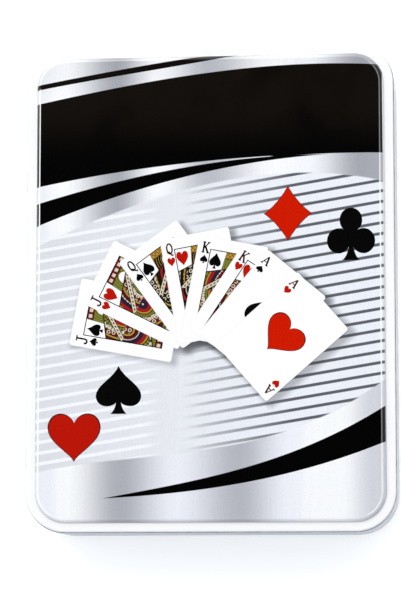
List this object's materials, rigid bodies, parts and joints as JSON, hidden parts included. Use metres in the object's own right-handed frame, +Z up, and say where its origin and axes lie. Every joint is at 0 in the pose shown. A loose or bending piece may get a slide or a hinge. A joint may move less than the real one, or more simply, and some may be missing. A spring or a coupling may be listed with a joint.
{
  "type": "card game tin",
  "caption": "Flat rectangular tin box with a raised printed lid, hinged on wire pins along one long side, over a plastic tray that holds decks of playing cards side by side.",
  "frame": {"origin": "middle of the footprint, on the surface that the tin stands on", "axes": "+X from the hinged long side to the opening side, +Y to the top of the lid's printed face, +Z up out of the lid"},
  "size_m": [0.1014, 0.132, 0.022],
  "materials": {
    "lid_coat": "gloss",
    "base_coat": "gloss",
    "tray_plastic": "satin",
    "hinge_wire": "satin",
    "red_deck_card": "gloss",
    "blue_deck_card": "gloss"
  },
  "bodies": {
    "base": {"base_shell": "base_coat", "card_tray": "tray_plastic", "lower_hinge_pin": "hinge_wire", "upper_hinge_pin": "hinge_wire", "red_deck_spades": "red_deck_card", "red_deck_hearts": "red_deck_card", "red_deck_clubs": "red_deck_card", "red_deck_diamonds": "red_deck_card", "red_deck_jokers": "red_deck_card", "blue_deck_spades": "blue_deck_card", "blue_deck_hearts": "blue_deck_card", "blue_deck_clubs": "blue_deck_card", "blue_deck_diamonds": "blue_deck_card", "blue_deck_jokers": "blue_deck_card"},
    "lid": {"lid_shell": "lid_coat"}
  },
  "joints": [
    {"name": "lid_hinge", "type": "hinge", "parent": "base", "child": "lid", "pos_m": [-0.05055, 0, 0.0122], "axis": [0, -1, 0], "range_deg": [0, 180]}
  ]
}
